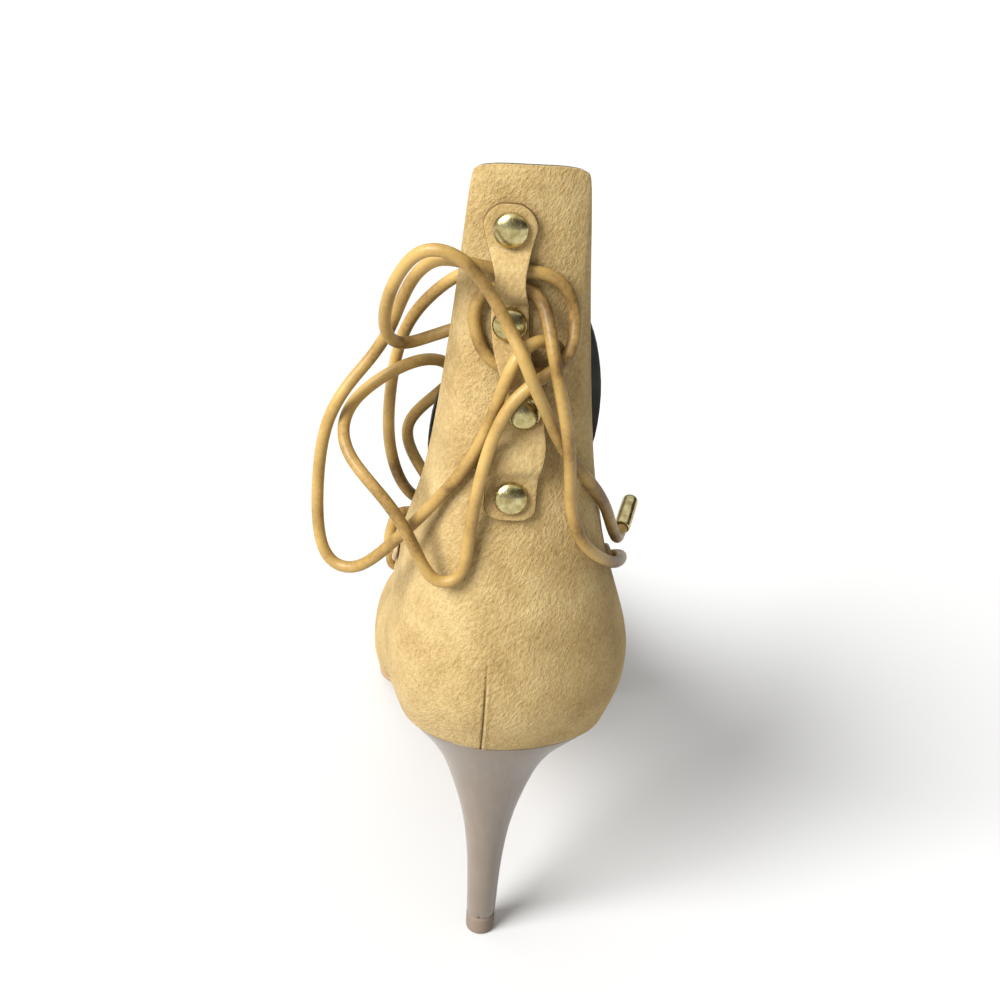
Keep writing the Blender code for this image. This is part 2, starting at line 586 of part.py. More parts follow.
# Lace
def tube(bm, points, radius):
    """Closed round tube along a line of points, mitred at each of them."""
    runs = [(b - a).normalized() for a, b in zip(points, points[1:])]
    side = runs[0].orthogonal().normalized()
    rings = []
    for k, point in enumerate(points):
        before, after = runs[max(k - 1, 0)], runs[min(k, len(runs) - 1)]
        mitre = (before + after).normalized()
        side = (side - mitre * side.dot(mitre)).normalized()
        across = mitre.cross(side)
        rings.append([point + (side * math.cos(a) + across * math.sin(a)) * radius
                      for a in (2.0 * math.pi * n / LACE_SIDES for n in range(LACE_SIDES))])
    made = skin(bm, rings)
    bm.faces.new(made[0])
    bm.faces.new(made[-1])
    close_outwards(bm)


def lace_at(frames, side, number, bends):
    """Middle line of the lace where it bends round the wall at an eyelet."""
    toe = 1.0 if side == "outer" else -1.0
    return [frames[side, number] @ Vector((toe * bend.toe, bend.up, bend.off)) for bend in bends]


def make_front_lace(frames, mat):
    """The bar behind the lowest eyelets and a joined crossing between each pair and the next."""
    radius = 0.5 * LACE_D
    bm = bmesh.new()
    mouth = [Bend(0.0, 0.0, -WALL - EYELET_TAIL - GAP)]
    tube(bm, lace_at(frames, "inner", 1, mouth) + lace_at(frames, "outer", 1, mouth), radius)
    new_object("lace_bar", bm, mat)
    over = [bend._replace(toe=-bend.toe) for bend in reversed(LACE_OVER)]
    for number in range(1, len(EYELET_RIBS)):
        legs = []
        for start, end in (("inner", "outer"), ("outer", "inner")):
            outside = end == "inner" and number + 1 == len(EYELET_RIBS)
            arrival = over if outside else LACE_BEHIND
            leg = lace_at(frames, start, number, LACE_OVER) + lace_at(frames, end, number + 1, arrival)
            legs.append(bmesh.new())
            tube(legs[-1], leg, radius)
        cross = new_object(f"lace_cross_{number}", legs[0], mat)
        other = new_object(f"lace_leg_{number}", legs[1], mat)
        other.hide_render = True
        other.display_type = "WIRE"
        join = cross.modifiers.new("join", "BOOLEAN")
        join.object = other
        join.operation = "UNION"


def make_cord(name, route, mat):
    curve = bpy.data.curves.new(name, "CURVE")
    curve.dimensions = "3D"
    curve.bevel_depth = 0.5 * LACE_D * MM
    curve.bevel_resolution = 2
    curve.use_fill_caps = True
    spline = curve.splines.new("POLY")
    spline.points.add(len(route) - 1)
    for point, spot in zip(spline.points, route):
        point.co = (*(MM * value for value in spot), 1.0)
    curve.materials.append(mat)
    bpy.context.scene.collection.objects.link(bpy.data.objects.new(name, curve))


def make_tips(mat):
    crimp = TIP_RADIUS - TIP_CRIMP
    outline = ((0.0, 0.0), (TIP_RADIUS, 0.0), (TIP_RADIUS, TIP_NECK - 2.0 * TIP_CRIMP),
               (crimp, TIP_NECK - TIP_CRIMP), (crimp, TIP_NECK + TIP_CRIMP),
               (TIP_RADIUS, TIP_NECK + 2.0 * TIP_CRIMP), (TIP_RADIUS, TIP_LENGTH - TIP_EDGE),
               (TIP_RADIUS - TIP_EDGE, TIP_LENGTH), (0.0, TIP_LENGTH))
    for name, route in (("aglet_inner", LACE_INNER), ("aglet_outer", LACE_OUTER)):
        end = Vector(route[-1])
        run = (end - Vector(route[-2])).normalized()
        turn = run.to_track_quat("Z", "Y").to_matrix().to_4x4()
        bm = bmesh.new()
        turned(bm, outline, ROUND_SIDES, Matrix.Translation(end + run * GAP) @ turn)
        new_object(name, bm, mat)


def main():
    for obj in list(bpy.data.objects):
        bpy.data.objects.remove(obj, do_unlink=True)
    suede = material("tan_suede", (0.62, 0.43, 0.22), 0.95)
    lining = material("black_lining", (0.02, 0.02, 0.02), 0.7)
    sole = material("tan_sole", (0.42, 0.28, 0.16), 0.6)
    lacquer = material("taupe_lacquer", (0.46, 0.39, 0.33), 0.3)
    rubber = material("taupe_top_piece", (0.36, 0.30, 0.26), 0.6)
    brass = material("pale_brass", (0.78, 0.68, 0.42), 0.25, 1.0)
    rim = material("eyelet_rim", (0.66, 0.52, 0.36), 0.5)
    lace = material("tan_lace", (0.60, 0.38, 0.15), 0.5)

    face = upper_face()
    tree = BVHTree.FromBMesh(face)
    frames = eyelet_frames(tree)
    make_strip(tree, suede)
    make_rivets(tree, brass)
    make_eyelets(frames, rim)
    make_front_lace(frames, lace)
    make_cord("lace_inner", LACE_INNER, lace)
    make_cord("lace_outer", LACE_OUTER, lace)
    make_tips(brass)
    make_upper(face, frames, suede)
    make_insole(lining)
    make_outsole(sole)
    make_heel(lacquer)
    make_top_piece(rubber)


main()
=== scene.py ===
"""Finish of a lace-up suede stiletto for the right foot: nap, lining, lace, metal and lacquer.

Laid out as an add-on and run as a script. Tables are in millimetres in the shoe's own frame: +Y runs to the
toe, +X to the outer side, +Z up, and the origin is under the heel.
"""

import math
from collections import namedtuple

import bmesh
import bpy
from bpy.props import FloatProperty, FloatVectorProperty, PointerProperty
from mathutils import Matrix, Vector
from mathutils.bvhtree import BVHTree


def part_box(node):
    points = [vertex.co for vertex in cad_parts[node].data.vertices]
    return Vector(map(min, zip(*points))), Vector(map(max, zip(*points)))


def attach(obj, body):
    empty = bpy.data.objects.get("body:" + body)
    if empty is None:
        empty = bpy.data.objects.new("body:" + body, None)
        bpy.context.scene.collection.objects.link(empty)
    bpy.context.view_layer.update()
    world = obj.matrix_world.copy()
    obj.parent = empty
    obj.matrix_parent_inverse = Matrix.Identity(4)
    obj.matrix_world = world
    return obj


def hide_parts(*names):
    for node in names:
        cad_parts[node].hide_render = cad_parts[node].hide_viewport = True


bl_info = {
    "name": "Lace-up stiletto finish",
    "version": (1, 0, 0),
    "blender": (4, 5, 0),
    "location": "3D View > Sidebar > Shoe",
    "description": "Suede, lining, lace, metal and lacquer for a lace-up stiletto",
    "category": "Object",
}

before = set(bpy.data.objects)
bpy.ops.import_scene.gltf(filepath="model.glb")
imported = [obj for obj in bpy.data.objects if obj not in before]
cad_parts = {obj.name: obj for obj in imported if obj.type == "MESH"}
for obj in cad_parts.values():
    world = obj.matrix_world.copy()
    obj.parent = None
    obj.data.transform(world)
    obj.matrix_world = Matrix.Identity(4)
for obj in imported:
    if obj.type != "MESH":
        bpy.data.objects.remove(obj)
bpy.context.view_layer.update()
BODY = "root"
MM = 0.001
MERGE = 0.004 * MM

# Counts of like pieces: rivets on the strip, and eyelets on each side
RIVETS = 4
EYELETS = 4

# How the CAD meshes are read: fold and skew of triangles that join, and the turn that ends an outer face
QUAD_FOLD = math.radians(25.0)
QUAD_SKEW = math.radians(60.0)
FACE_TURN = math.radians(42.0)

# Edges of a wall that are sharper than this are rounded
ROUNDED_ANGLE = math.radians(50.0)

# Lace at an eyelet, as distance to the toe, up the wall and off its outer face:
# over the topline, and behind the wall
Bend = namedtuple("Bend", "toe up off")
LACE_OVER = (Bend(0.0, 0.0, 3.2), Bend(-0.6, 4.8, 3.0), Bend(-1.4, 9.6, 2.6), Bend(-1.8, 11.8, -0.9))
LACE_BEHIND = (Bend(1.8, 9.4, -2.6), Bend(1.4, 7.2, -3.9), Bend(0.6, 3.6, -4.0), Bend(0.0, 0.0, -4.0))
LACE_HOLE = Bend(0.0, 0.0, -0.9)
LACE_MOUTH = Bend(0.0, 0.0, -2.7)
LACE_PASS = 1.6

# The two free lengths of the lace, by their middle line
LACE_OUTER = (
    # from the top eyelet round the back and up the tab to the upper loop of the strip
    (30.3, 17.0, 119.2), (32.2, 14.6, 120.8), (31.0, 7.5, 123.5), (28.6, -1.5, 128.0),
    (25.8, -10.2, 133.1), (20.5, -16.5, 139.0), (16.0, -19.0, 145.0), (13.5, -18.5, 153.0),
    (13.0, -19.0, 160.5), (12.0, -21.0, 170.5), (9.5, -22.0, 181.5), (7.4, -21.5, 189.5),
    (5.8, -17.5, 196.5), (4.6, -12.5, 201.5),
    # through it, down to the second loop, through that, and a turn back over the strip
    (1.0, -11.2, 204.7), (-4.6, -11.1, 205.0), (-9.2, -10.5, 203.9), (-11.6, -10.4, 199.4),
    (-11.0, -10.9, 193.6), (-8.8, -12.4, 188.8), (-5.4, -13.7, 186.5), (-0.6, -14.0, 185.8),
    (4.2, -13.9, 184.8), (8.0, -13.5, 185.4), (9.6, -13.4, 189.0), (7.8, -14.0, 192.6),
    (4.0, -15.8, 194.4), (0.2, -18.2, 193.4), (-2.8, -19.8, 188.8), (-4.8, -19.2, 181.5),
    # down in a slack loop and up the inner side
    (-7.0, -17.4, 172.0), (-11.5, -16.5, 161.0), (-20.0, -14.3, 148.5), (-30.5, -11.0, 134.5),
    (-37.0, -8.5, 127.3), (-43.5, -6.0, 126.8), (-47.2, -4.0, 132.8), (-47.6, -2.8, 148.0),
    (-45.9, -3.2, 165.0), (-40.5, -1.5, 174.6), (-35.0, 0.8, 180.5), (-30.8, 1.0, 187.5),
    (-28.2, -1.5, 196.5), (-25.3, -5.5, 204.5), (-21.0, -9.8, 210.2), (-16.0, -12.0, 211.0),
    # through the upper loop again, round the outer side and down over the strip in a second slack loop
    (-10.0, -10.6, 208.9), (-2.5, -10.7, 208.2), (4.0, -10.7, 208.6), (9.0, -10.2, 205.6),
    (11.6, -10.3, 200.4), (11.9, -12.6, 195.0), (10.8, -16.6, 191.0), (7.0, -18.0, 187.6),
    (2.0, -20.2, 185.0), (-1.8, -21.0, 181.2), (-4.6, -21.5, 176.0), (-7.4, -21.2, 166.5),
    (-9.6, -21.0, 152.0), (-10.2, -21.0, 141.5), (-10.8, -21.0, 135.5), (-14.0, -20.9, 131.8),
    (-18.6, -20.3, 132.4), (-21.6, -19.5, 137.5), (-26.8, -17.4, 148.4), (-35.0, -13.0, 155.6),
    (-40.2, -8.0, 160.0), (-41.6, -2.5, 164.2), (-39.6, 2.5, 168.2), (-35.0, 5.5, 171.8),
    # a turn behind the tab, and down beside it into the collar, where the end hangs
    (-29.0, 6.3, 176.0), (-22.0, 8.0, 178.5), (-16.2, 10.5, 176.5), (-13.8, 13.4, 171.0),
    (-20.5, 15.6, 163.8), (-26.8, 15.6, 157.2), (-25.6, 14.8, 150.0), (-20.5, 13.0, 142.5),
    (-14.5, 11.5, 135.0),
)
LACE_INNER = (
    # up inside the collar, out over the topline and up beside the tab
    (-24.5, 17.0, 118.0), (-20.6, 17.0, 119.6), (-18.8, 16.8, 124.5), (-19.2, 16.2, 130.5),
    (-21.2, 15.2, 134.8), (-24.2, 13.6, 136.8), (-27.0, 12.2, 141.0), (-29.5, 11.0, 148.0),
    (-31.0, 10.0, 157.5), (-30.4, 10.2, 171.0), (-28.0, 9.2, 185.0), (-22.5, 7.0, 194.0),
    # a turn behind the tab
    (-16.0, 4.5, 201.0), (-9.5, 2.5, 204.5), (-4.2, 1.5, 202.0), (-3.2, 1.5, 196.2),
    (-7.5, 2.0, 191.8), (-21.0, 3.4, 186.0), (-27.2, 1.2, 184.2), (-31.2, -4.2, 188.0),
    (-32.0, -8.0, 195.5),
    # over the top of the slack loops and across the back of the tab
    (-30.0, -11.5, 204.5), (-25.5, -15.0, 213.0), (-20.5, -17.5, 215.5), (-14.0, -18.0, 213.5),
    (-7.5, -17.5, 205.0), (-3.0, -19.5, 197.0), (-0.5, -23.0, 193.5), (2.0, -24.0, 187.5),
    (6.5, -20.5, 177.5), (11.5, -16.4, 165.5), (19.4, -14.0, 156.7),
    # down the outer side to the tip
    (24.0, -5.0, 146.0), (27.0, 3.0, 135.5), (29.5, 9.5, 128.5), (30.8, 14.5, 126.3),
    (31.8, 17.8, 127.2),
)

# Soft troughs and ridges of the suede: middle, half sizes along X, Y and Z, and depth, which is outwards
# above zero. CREASE_FALL says how fast they flatten out.
Crease = namedtuple("Crease", "name x y z half_x half_y half_z depth")
CREASES = (
    Crease("ankle_fold", 4.0, -16.0, 130.0, 26.0, 14.0, 5.0, -0.5),
    Crease("counter_swell", -9.0, -22.0, 104.0, 14.0, 12.0, 12.0, 0.4),
    Crease("outer_dent", 26.0, -4.0, 112.0, 10.0, 12.0, 9.0, -0.5),
    Crease("tab_hollow", 11.0, -10.0, 170.0, 4.0, 9.0, 16.0, -0.4),
    Crease("flex_outer", 16.0, 130.0, 46.0, 22.0, 5.0, 16.0, -0.5),
    Crease("flex_inner", -15.0, 124.0, 48.0, 20.0, 5.0, 16.0, -0.5),
)
CREASE_FALL = 1.5

# Dart up the middle of the counter: a groove at x with a raised lip beside it, closing towards its top
Dart = namedtuple("Dart", "x cuts half depth lip lip_rise low fade top")
DART = Dart(-3.95, (-1.5, -0.8, -0.35, 0.0, 0.35, 0.8, 1.5), 0.4, 0.45, 0.8, 0.18, 74.0, 100.0, 114.5)

# Faces within DART_REACH of the dart are cut finer. All of it lies behind DART_FRONT, and its painted shade
# fades out over DART_BLUR before that.
DART_REACH = 5.0
DART_FRONT = -8.0
DART_BLUR = 4.0

# The tip of the toe is smoothed: where that starts along Y, and how many passes it takes
TOE_START = 192.0
TOE_PASSES = 24

# Edges of the lining that roll out past the tab: side, ends of the roll in height, and how far it stands
# out. A roll turns in steps of so many degrees, swells to its middle, and starts outside TAB_EDGE.
Roll = namedtuple("Roll", "name side low high reach")
ROLLS = (Roll("outer", 1.0, 157.0, 195.0, 5.4), Roll("inner", -1.0, 152.0, 176.0, 2.2))
ROLL_TURNS = (8.0, 24.0, 44.0, 68.0, 96.0)
ROLL_SWELL = 0.7
TAB_EDGE = 8.0

# Gap from the suede to the lining, and rounding of the lining's edges as a share of the suede's
LINING_GAP = 0.02
LINING_EDGE = 0.6

# Share of X in an edge or a normal of the strip, above which it runs or looks across the strip,
# and how far from the strip's ends such edges are held
ACROSS = 0.7
STRIP_END = 1.0

# Soles and heel, with how strongly, from 0 to 1, the edges of each are held that turn by over HELD_ANGLE
Bottom = namedtuple("Bottom", "name node finish slot crease")
BOTTOM = (
    Bottom("lined_insole", "insole", "black_lining", "lining", 0.6),
    Bottom("tan_outsole", "outsole", "tan_sole", "sole", 0.8),
    Bottom("lacquered_heel", "heel", "taupe_lacquer", "lacquer", 0.9),
    Bottom("rubber_top_piece", "top_piece", "taupe_top_piece", "top_piece", 0.7),
)
HELD_ANGLE = 40.0

# Ends of pieces that are drawn out to close the joint to the heel:
# the way to the end, how deep it is, and how far it moves
Closing = namedtuple("Closing", "node way depth shift")
JOINTS_CLOSED = (
    Closing("outsole", (0.0, -1.0, 0.0), 1.5, (0.0, -0.7, 0.37)),
    Closing("top_piece", (0.0, 0.0, 1.0), 2.0, (0.0, 0.0, 0.26)),
)

# Outlines of turned pieces, as radius and height
RIVET_OUTLINE = ((3.8, 0.0), (4.0, 0.2), (4.02, 0.6), (3.9, 0.95), (3.6, 1.3), (3.1, 1.62), (2.3, 1.95),
                 (1.2, 2.2), (0.0, 2.28))
EYELET_OUTLINE = ((1.8, -2.4), (2.1, -2.4), (2.1, 0.3), (3.05, 0.4), (3.3, 0.65), (3.22, 1.05),
                  (2.85, 1.45), (2.35, 1.58), (1.95, 1.35), (1.8, 0.9))
TIP_OUTLINE = ((0.0, 0.2), (1.55, 0.2), (1.85, 0.0), (2.12, 0.2), (2.2, 0.6), (2.2, 10.4), (2.1, 11.0),
               (1.85, 11.4), (1.4, 11.5), (0.0, 11.5))

# Depth of a rivet's seat under the middle of its box, and how far round an eyelet the faces set its tilt
RIVET_SEAT = 1.2
SEAT_REACH = 7.0

# A point well behind the shoe, from which the tab is searched
BEHIND = -200.0

# Suns of the stage: way to the light, strength and width in degrees
Lamp = namedtuple("Lamp", "name way strength width")
LAMPS = (Lamp("key", (-0.7, -0.5, 0.66), 5.7, 34.0), Lamp("top", (0.05, 0.1, 1.0), 1.5, 100.0))

# The sky's colour, and where across it, from -1 to 1, its light starts and ends to change
SKY_COLOUR = (1.0, 0.99, 0.97, 1.0)
SKY_TURN = (-0.5, 0.7)

# Half the floor's width in metres, and the size and shade of its faint patches
FLOOR_HALF = 20.0
FLOOR_PATCH = 140.0
FLOOR_SHADE = 0.985


class Wire:
    """A socket of a node tree that takes part in sums: an operator on it adds a Math node."""

    def __init__(self, tree, socket=None):
        self.tree = tree
        self.socket = socket

    def node(self, kind, settings=(), inputs=(), outlet=0):
        """Adds a node: its settings first, then the values or links of its sockets."""
        made = self.tree.nodes.new(kind)
        for name, value in dict(settings).items():
            if name == "stops":
                ramp = made.color_ramp
                while len(ramp.elements) < len(value):
                    ramp.elements.new(0.5)
                for element, (place, colour) in zip(ramp.elements, value):
                    element.position = place
                    element.color = (*colour, 1.0)
            else:
                setattr(made, name, value)
        for name, value in dict(inputs).items():
            if isinstance(value, Wire):
                self.tree.links.new(value.socket, made.inputs[name])
            else:
                made.inputs[name].default_value = value
        return Wire(self.tree, made.outputs[outlet])

    def sum(self, operation, *values):
        """Adds a Math node on these values."""
        return self.node("ShaderNodeMath", {"operation": operation}, enumerate(values))

    def __add__(self, other):
        return self.sum("ADD", self, other)

    def __sub__(self, other):
        return self.sum("SUBTRACT", self, other)

    def __rsub__(self, other):
        return self.sum("SUBTRACT", other, self)

    def __mul__(self, other):
        return self.sum("MULTIPLY", self, other)

    def __abs__(self):
        return self.sum("ABSOLUTE", self)

    __radd__ = __add__
    __rmul__ = __mul__

    def ease(self, low, high, to_low=0.0, to_high=1.0):
        """Smooth step from to_low to to_high as the value goes from low to high."""
        inputs = {"Value": self, "From Min": low, "From Max": high, "To Min": to_low, "To Max": to_high}
        return self.node("ShaderNodeMapRange", {"interpolation_type": "SMOOTHSTEP"}, inputs)

    def noise(self, size, detail=2.0, rough=0.5):
        """Noise on this vector with grains of about size millimetres."""
        inputs = {"Vector": self, "Scale": 1.0 / (size * MM), "Detail": detail, "Roughness": rough}
        return self.node("ShaderNodeTexNoise", {}, inputs)

    def drawn_out(self, stretch, turn=(0.0, 0.0, 0.0)):
        """This vector with patterns on it stretched along each axis, then turned."""
        inputs = {"Vector": self, "Rotation": turn, "Scale": stretch}
        return self.node("ShaderNodeMapping", {"vector_type": "TEXTURE"}, inputs)

    def ramp(self, *stops):
        return self.node("ShaderNodeValToRGB", {"stops": stops}, {"Fac": self})

    def blend(self, low, high):
        """Colour from low to high as this value goes from 0 to 1."""
        inputs = {0: self, 6: colour4(low), 7: colour4(high)}
        return self.node("ShaderNodeMix", {"data_type": "RGBA"}, inputs, 2)

    def axes(self):
        split = self.node("ShaderNodeSeparateXYZ", {}, {"Vector": self})
        return [Wire(self.tree, socket) for socket in split.socket.node.outputs]

    def bumped(self, depth, strength=1.0):
        """Normal of this height, depth millimetres from 0 to 1."""
        inputs = {"Height": self, "Distance": depth * MM, "Strength": strength}
        return self.node("ShaderNodeBump", {}, inputs)


def colour4(value):
    return value if isinstance(value, Wire) else (*value[:3], 1.0)


def new_finish(name, **constants):
    """New material; returns its object coordinates and a function that feeds the shader's sockets."""
    mat = bpy.data.materials.new(name)
    mat.use_nodes = True
    shader = mat.node_tree.nodes["Principled BSDF"]
    for socket, value in constants.items():
        shader.inputs[socket.replace("_", " ")].default_value = value

    def feed(**sockets):
        for socket, value in sockets.items():
            mat.node_tree.links.new(value.socket, shader.inputs[socket.replace("_", " ")])

    return Wire(mat.node_tree).node("ShaderNodeTexCoord", outlet="Object"), feed


def suede_finish(colours, name="tan_suede", nap=0.8):
    """Short nap in slanting strokes, lighter and darker where it lies over, and painted shade down in the
    dart's groove.
    """
    place, feed = new_finish(name, Roughness=0.95, Sheen_Weight=0.12, Sheen_Roughness=0.5,
                             Sheen_Tint=(1.0, 0.9, 0.68, 1.0), Specular_IOR_Level=0.12)
    slant = (0.0, math.radians(28.0), 0.0)
    strokes = place.drawn_out((1.0, 1.0, 1.8), slant).noise(0.85, detail=3.0, rough=0.62)
    fibres = place.drawn_out((1.0, 1.0, 1.5), slant).noise(0.3, rough=0.6)
    patches = place.noise(13.0, detail=3.0, rough=0.55)
    tone = strokes * 0.35 + fibres * 0.25 + patches * 0.4
    colour = tone.ramp((0.36, colours.suede_dark), (0.5, colours.suede_mid), (0.66, colours.suede_light))
    x, y, z = place.axes()
    # Painted shade down the dart's groove: darker towards its middle line, fading out up the counter and
    # towards the front.
    groove = abs(x - DART.x * MM).ease(0.1 * MM, DART.half * MM, 0.8, 0.0)
    groove = groove * z.ease(DART.fade * MM, DART.top * MM, 1.0, 0.0)
    groove = groove * y.ease((DART_FRONT - DART_BLUR) * MM, DART_FRONT * MM, 1.0, 0.0)
    shade = [0.55 * value for value in colours.suede_dark]
    height = strokes * 0.75 + fibres * 0.25
    feed(Base_Color=groove.blend(colour, shade), Normal=height.bumped(nap))


def strip_finish(colours):
    """The same suede with a shorter nap."""
    suede_finish(colours, "strip_suede", nap=0.45)


def cut_and_gap_shade_finish(colours):
    """Raw edge and back of the strip, fibrous, and darker than its face, partly as painted shade of the gap
    under the lifted strip.
    """
    place, feed = new_finish("cut_leather_gap_shade", Specular_IOR_Level=0.2)
    fibres = place.drawn_out((1.0, 1.0, 4.0)).noise(0.4, detail=3.0, rough=0.6)
    feed(Base_Color=fibres.ramp((0.35, colours.cut_shaded_dark), (0.65, colours.cut_shaded_light)),
         Roughness=fibres.ease(0.3, 0.7, 0.75, 0.95), Normal=fibres.bumped(0.2, strength=0.7))


def lining_finish(colours):
    """Black leather with a fine pebbled grain, rubbed a little greyer here and there."""
    place, feed = new_finish("black_lining", Specular_IOR_Level=0.4)
    grain = place.node("ShaderNodeTexVoronoi", {"feature": "SMOOTH_F1"},
                       {"Vector": place, "Scale": 1.0 / (0.9 * MM)})
    wear = place.noise(6.0, detail=3.0)
    feed(Base_Color=wear.blend(colours.lining_dark, colours.lining_light),
         Roughness=wear.ease(0.3, 0.7, 0.4, 0.6), Normal=grain.bumped(0.12, strength=0.5))


def lacquer_finish(colours):
    """Satin lacquer with faint streaks down the heel, clouds under its coat and fine scuffs."""
    place, feed = new_finish("taupe_lacquer", Coat_Roughness=0.14, Specular_IOR_Level=0.5)
    streaks = place.drawn_out((1.0, 1.0, 16.0)).noise(1.6)
    clouds = place.noise(11.0)
    scuffs = place.drawn_out((1.0, 1.0, 5.0), (0.3, 0.2, 0.5)).noise(0.7, detail=4.0, rough=0.7)
    tone = streaks * 0.4 + clouds * 0.6
    feed(Base_Color=tone.ramp((0.3, colours.lacquer_dark), (0.7, colours.lacquer_light)),
         Roughness=scuffs.ease(0.45, 0.75, 0.3, 0.42), Coat_Weight=clouds.ease(0.3, 0.7, 0.5, 0.3),
         Normal=clouds.bumped(0.2, strength=0.2))


def sole_finish(colours):
    """Leather sole with fibres along the foot and scuffed places."""
    place, feed = new_finish("tan_sole", Specular_IOR_Level=0.4)
    fibres = place.drawn_out((1.0, 8.0, 1.0)).noise(0.6, detail=4.0, rough=0.6)
    scuffs = place.noise(5.0, detail=5.0, rough=0.7)
    tone = fibres * 0.5 + scuffs * 0.5
    feed(Base_Color=tone.ramp((0.32, colours.sole_dark), (0.68, colours.sole_light)),
         Roughness=scuffs.ease(0.3, 0.7, 0.45, 0.7), Normal=tone.bumped(0.15, strength=0.5))


def rubber_finish(colours):
    """Matt rubber with a fine speck."""
    place, feed = new_finish("taupe_top_piece", Specular_IOR_Level=0.3)
    speck = place.noise(0.5, detail=3.0, rough=0.65)
    feed(Base_Color=speck.blend(colours.rubber_dark, colours.rubber_light),
         Roughness=speck.ease(0.3, 0.7, 0.55, 0.8), Normal=speck.bumped(0.08, strength=0.6))


def brass_finish(colours):
    """Pale polished brass, a little tarnished and finely scratched."""
    place, feed = new_finish("pale_brass", Metallic=1.0)
    clouds = place.noise(2.2, detail=3.0, rough=0.6)
    scratches = place.drawn_out((1.0, 8.0, 1.0), (0.4, 0.9, 0.3)).noise(0.3, detail=3.0, rough=0.7)
    feed(Base_Color=clouds.ramp((0.35, colours.brass_dark), (0.65, colours.brass_light)),
         Roughness=scratches.ease(0.4, 0.75, 0.2, 0.36), Normal=scratches.bumped(0.03, strength=0.4))


def rim_finish(colours):
    """Painted rims, worn to the metal in places."""
    place, feed = new_finish("eyelet_rim", Specular_IOR_Level=0.5)
    wear = place.noise(1.3, detail=4.0, rough=0.65)
    feed(Base_Color=wear.ramp((0.35, colours.rim_dark), (0.7, colours.rim_light)),
         Roughness=wear.ease(0.3, 0.7, 0.35, 0.55), Metallic=wear.ease(0.6, 0.72, 0.0, 0.7))


def lace_finish(colours):
    """Smooth round leather with a fine grain, darker here and there."""
    place, feed = new_finish("tan_lace", Specular_IOR_Level=0.3, Coat_Roughness=0.3)
    rubbed = place.noise(18.0)
    grain = place.noise(0.3, detail=3.0, rough=0.6)
    pores = place.noise(1.1)
    tone = rubbed * 0.75 + pores * 0.15 + grain * 0.1
    colour = tone.ramp((0.36, colours.lace_dark), (0.48, colours.lace_mid), (0.62, colours.lace_light))
    feed(Base_Color=colour, Roughness=grain.ease(0.3, 0.7, 0.4, 0.54),
         Coat_Weight=rubbed.ease(0.35, 0.65, 0.06, 0.22),
         Normal=(grain * 0.6 + pores * 0.4).bumped(0.08, strength=0.5))


FINISHES = {
    "tan_suede": suede_finish,
    "strip_suede": strip_finish,
    "cut_leather_gap_shade": cut_and_gap_shade_finish,
    "black_lining": lining_finish,
    "taupe_lacquer": lacquer_finish,
    "tan_sole": sole_finish,
    "taupe_top_piece": rubber_finish,
    "pale_brass": brass_finish,
    "eyelet_rim": rim_finish,
    "tan_lace": lace_finish,
}


def material_named(name):
    """The finish of that name, made on first use from the colours in the scene's settings."""
    if name not in bpy.data.materials:
        FINISHES[name](bpy.context.scene.shoe_colours)
    return bpy.data.materials[name]


def node_copy(name):
    """The CAD node's mesh as a bmesh with its loose triangles merged and joined into quads."""
    bm = bmesh.new()
    bm.from_mesh(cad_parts[name].data)
    bmesh.ops.remove_doubles(bm, verts=bm.verts, dist=MERGE)
    bmesh.ops.join_triangles(bm, faces=bm.faces, angle_face_threshold=QUAD_FOLD,
                             angle_shape_threshold=QUAD_SKEW)
    return bm


def hold_edges(bm, angle, crease, left_soft=()):
    """Keeps edges sharper than angle degrees when the piece is subdivided, apart from some left soft."""
    layer = bm.edges.layers.float.new("crease_edge")
    for edge in bm.edges:
        if edge not in left_soft and edge.is_manifold and edge.calc_face_angle() > math.radians(angle):
            edge[layer] = crease


def piece(name, bm, finish_name, slot, *nodes):
    """Shown object from a bmesh in metres, riding on the shoe and standing for its CAD nodes."""
    mesh = bpy.data.meshes.new(name)
    bm.to_mesh(mesh)
    bm.free()
    mesh.materials.append(material_named(finish_name))
    mesh.shade_smooth()
    obj = bpy.data.objects.new(name, mesh)
    bpy.context.scene.collection.objects.link(obj)
    return seated(obj, slot, *nodes)


def seated(obj, slot, *nodes):
    """Lets an object ride on the shoe and hides the CAD nodes it stands for; the slot is not used."""
    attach(obj, BODY)
    if nodes:
        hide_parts(*nodes)
    return obj


def smoothed(obj, levels):
    mod = obj.modifiers.new("smooth", "SUBSURF")
    mod.levels = levels
    mod.render_levels = levels
    return obj


def walled(obj, thickness, edge):
    """Gives an open sheet its thickness inwards, and rounds the edges of the wall."""
    wall = obj.modifiers.new("wall", "SOLIDIFY")
    wall.thickness = thickness
    wall.offset = -1.0
    rounding = obj.modifiers.new("edge", "BEVEL")
    rounding.width = edge
    rounding.segments = 2
    rounding.limit_method = "ANGLE"
    rounding.angle_limit = ROUNDED_ANGLE
    return obj


def turned_body(outline, steps, matrix):
    """Body spun from an outline of radius and height in millimetres, placed by a matrix in metres."""
    bm = bmesh.new()
    row = [bm.verts.new((radius * MM, 0.0, height * MM)) for radius, height in outline]
    edges = [bm.edges.new(pair) for pair in zip(row, row[1:])]
    if outline[0][0] > 0.0 and outline[-1][0] > 0.0:
        edges.append(bm.edges.new((row[-1], row[0])))
    bmesh.ops.spin(bm, geom=row + edges, cent=(0.0, 0.0, 0.0), axis=(0.0, 0.0, 1.0), angle=2.0 * math.pi,
                   steps=steps, use_merge=True)
    bmesh.ops.remove_doubles(bm, verts=bm.verts, dist=MERGE)
    rims = [edge for edge in bm.edges if edge.is_boundary]
    if rims:
        bmesh.ops.holes_fill(bm, edges=rims, sides=0)
    bmesh.ops.recalc_face_normals(bm, faces=bm.faces)
    bmesh.ops.transform(bm, matrix=matrix, verts=bm.verts)
    return bm


